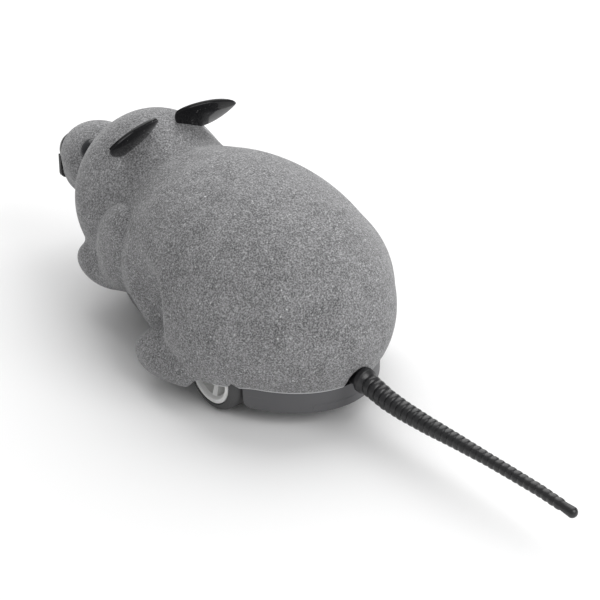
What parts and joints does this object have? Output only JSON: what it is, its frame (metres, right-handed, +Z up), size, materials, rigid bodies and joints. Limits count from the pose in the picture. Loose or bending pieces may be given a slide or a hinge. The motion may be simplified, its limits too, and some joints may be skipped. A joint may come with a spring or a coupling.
{
  "type": "robotic mouse cat toy",
  "caption": "Mouse shaped cat toy: a flocked shell on a motor driven wheeled chassis, with leaf ears, a ribbed rubber tail and a swivelling front bogie.",
  "frame": {"origin": "on the floor, below the middle of the toy's box, tail included", "axes": "+X to the mouse's left, +Y from the muzzle to the tail, +Z up"},
  "size_m": [0.0668, 0.2026, 0.0592],
  "materials": {
    "body_shell": "grey flock over a moulded shell",
    "chassis_tub": "moulded dark grey plastic",
    "shell_screw_front_left": "bright steel",
    "shell_screw_front_right": "bright steel",
    "shell_screw_rear_left": "bright steel",
    "shell_screw_rear_right": "bright steel",
    "ear_left": "glossy black",
    "ear_right": "glossy black",
    "eye_left": "glossy black",
    "eye_right": "glossy black",
    "nose": "glossy black",
    "tail": "soft black rubber",
    "rear_hub_left": "white plastic",
    "rear_hub_right": "white plastic",
    "rear_tyre_left": "black rubber",
    "rear_tyre_right": "black rubber",
    "rear_axle": "bright steel",
    "axle_gear": "white plastic",
    "first_gear": "white plastic",
    "second_gear": "white plastic",
    "first_gear_pin": "bright steel",
    "second_gear_pin": "bright steel",
    "gearbox_frame": "cream plastic",
    "axle_bush_far": "sintered brass",
    "axle_bush_near": "sintered brass",
    "motor_can": "plated steel",
    "motor_end_cap": "white plastic",
    "motor_shaft": "bright steel",
    "motor_pinion": "turned brass",
    "steering_bogie": "moulded dark grey plastic",
    "pivot_screw": "bright steel",
    "front_axle": "bright steel",
    "front_wheel_left": "black rubber",
    "front_wheel_right": "black rubber",
    "button_cell_1": "plated steel",
    "button_cell_2": "plated steel",
    "button_cell_3": "plated steel",
    "battery_contact_left": "spring steel strip",
    "battery_contact_right": "spring steel strip",
    "battery_holder": "moulded dark grey plastic",
    "battery_door": "moulded dark grey plastic",
    "circuit_board": "green solder mask",
    "controller_chip": "black moulding",
    "filter_capacitor": "black sleeve",
    "switch_body": "folded steel",
    "switch_knob": "black plastic",
    "motor_wire_red": "red sleeve",
    "motor_wire_black": "black sleeve",
    "battery_wire_red": "red sleeve",
    "battery_wire_black": "black sleeve"
  },
  "bodies": {
    "toy": {"body_shell": "body_shell", "chassis_tub": "chassis_tub", "shell_screw_front_left": "shell_screw_front_left", "shell_screw_front_right": "shell_screw_front_right", "shell_screw_rear_left": "shell_screw_rear_left", "shell_screw_rear_right": "shell_screw_rear_right", "ear_left": "ear_left", "ear_right": "ear_right", "eye_left": "eye_left", "eye_right": "eye_right", "nose": "nose", "tail": "tail", "motor_can": "motor_can", "motor_end_cap": "motor_end_cap", "gearbox_frame": "gearbox_frame", "axle_bush_far": "axle_bush_far", "axle_bush_near": "axle_bush_near", "first_gear_pin": "first_gear_pin", "second_gear_pin": "second_gear_pin", "circuit_board": "circuit_board", "controller_chip": "controller_chip", "filter_capacitor": "filter_capacitor", "switch_body": "switch_body", "button_cell_1": "button_cell_1", "button_cell_2": "button_cell_2", "button_cell_3": "button_cell_3", "battery_contact_left": "battery_contact_left", "battery_contact_right": "battery_contact_right", "battery_holder": "battery_holder", "motor_wire_red": "motor_wire_red", "motor_wire_black": "motor_wire_black", "battery_wire_red": "battery_wire_red", "battery_wire_black": "battery_wire_black"},
    "rear_wheelset": {"rear_axle": "rear_axle", "axle_gear": "axle_gear", "rear_hub_left": "rear_hub_left", "rear_hub_right": "rear_hub_right", "rear_tyre_left": "rear_tyre_left", "rear_tyre_right": "rear_tyre_right"},
    "second_gear_rotor": {"second_gear": "second_gear"},
    "first_gear_rotor": {"first_gear": "first_gear"},
    "motor_rotor": {"motor_shaft": "motor_shaft", "motor_pinion": "motor_pinion"},
    "bogie": {"steering_bogie": "steering_bogie", "pivot_screw": "pivot_screw"},
    "front_wheelset": {"front_axle": "front_axle", "front_wheel_left": "front_wheel_left", "front_wheel_right": "front_wheel_right"},
    "switch_slider": {"switch_knob": "switch_knob"},
    "battery_hatch": {"battery_door": "battery_door"}
  },
  "joints": [
    {"name": "rear_axle_spin", "type": "hinge", "parent": "toy", "child": "rear_wheelset", "pos_m": [0, -0.0047, 0.00985], "axis": [1, 0, 0], "continuous": true},
    {"name": "second_gear_spin", "type": "hinge", "parent": "toy", "child": "second_gear_rotor", "pos_m": [0, -0.00638, 0.01613], "axis": [1, 0, 0], "continuous": true},
    {"name": "first_gear_spin", "type": "hinge", "parent": "toy", "child": "first_gear_rotor", "pos_m": [0, -0.01249, 0.01835], "axis": [1, 0, 0], "continuous": true},
    {"name": "motor_spin", "type": "hinge", "parent": "toy", "child": "motor_rotor", "pos_m": [0, -0.01909, 0.01719], "axis": [1, 0, 0], "continuous": true},
    {"name": "bogie_swivel", "type": "hinge", "parent": "toy", "child": "bogie", "pos_m": [0, -0.0497, 0.012], "axis": [0, 0, 1], "range_deg": [0, 25]},
    {"name": "front_axle_spin", "type": "hinge", "parent": "bogie", "child": "front_wheelset", "pos_m": [0, -0.0497, 0.006], "axis": [1, 0, 0], "continuous": true},
    {"name": "switch_slide", "type": "slide", "parent": "toy", "child": "switch_slider", "axis": [0, 1, 0], "range_m": [0, 0.002]},
    {"name": "battery_door_slide", "type": "slide", "parent": "toy", "child": "battery_hatch", "axis": [0, 1, 0], "range_m": [0, 0.012]}
  ],
  "couplings": [
    {"joint": "second_gear_spin", "follows": "rear_axle_spin", "ratio": -1.2857},
    {"joint": "first_gear_spin", "follows": "rear_axle_spin", "ratio": 2.8286},
    {"joint": "motor_spin", "follows": "rear_axle_spin", "ratio": -8.8393}
  ]
}
